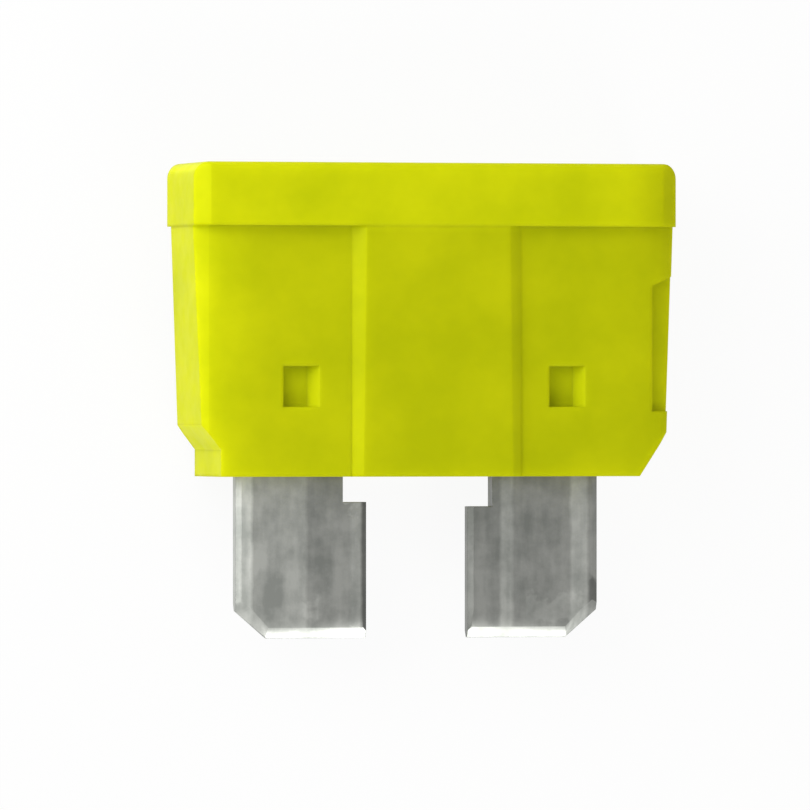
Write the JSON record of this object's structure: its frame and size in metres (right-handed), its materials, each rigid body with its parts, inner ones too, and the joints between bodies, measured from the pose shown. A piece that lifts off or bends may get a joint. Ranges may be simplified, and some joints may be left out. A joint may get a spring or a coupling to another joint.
{
  "type": "automotive blade fuse",
  "caption": "Regular-size automotive blade fuse: yellow moulded housing over a one-piece zinc element with two flat blades.",
  "frame": {"origin": "centre of the bounding box's bottom, with the fuse lying on its back", "axes": "+X across the two blades, +Y from the blade tips to the head, +Z out of the front face"},
  "size_m": [0.0194, 0.0186, 0.0052],
  "materials": {
    "housing_plastic": "satin",
    "zinc": "satin"
  },
  "bodies": {
    "root": {"housing": "housing_plastic", "fuse_element": "zinc"}
  },
  "joints": []
}
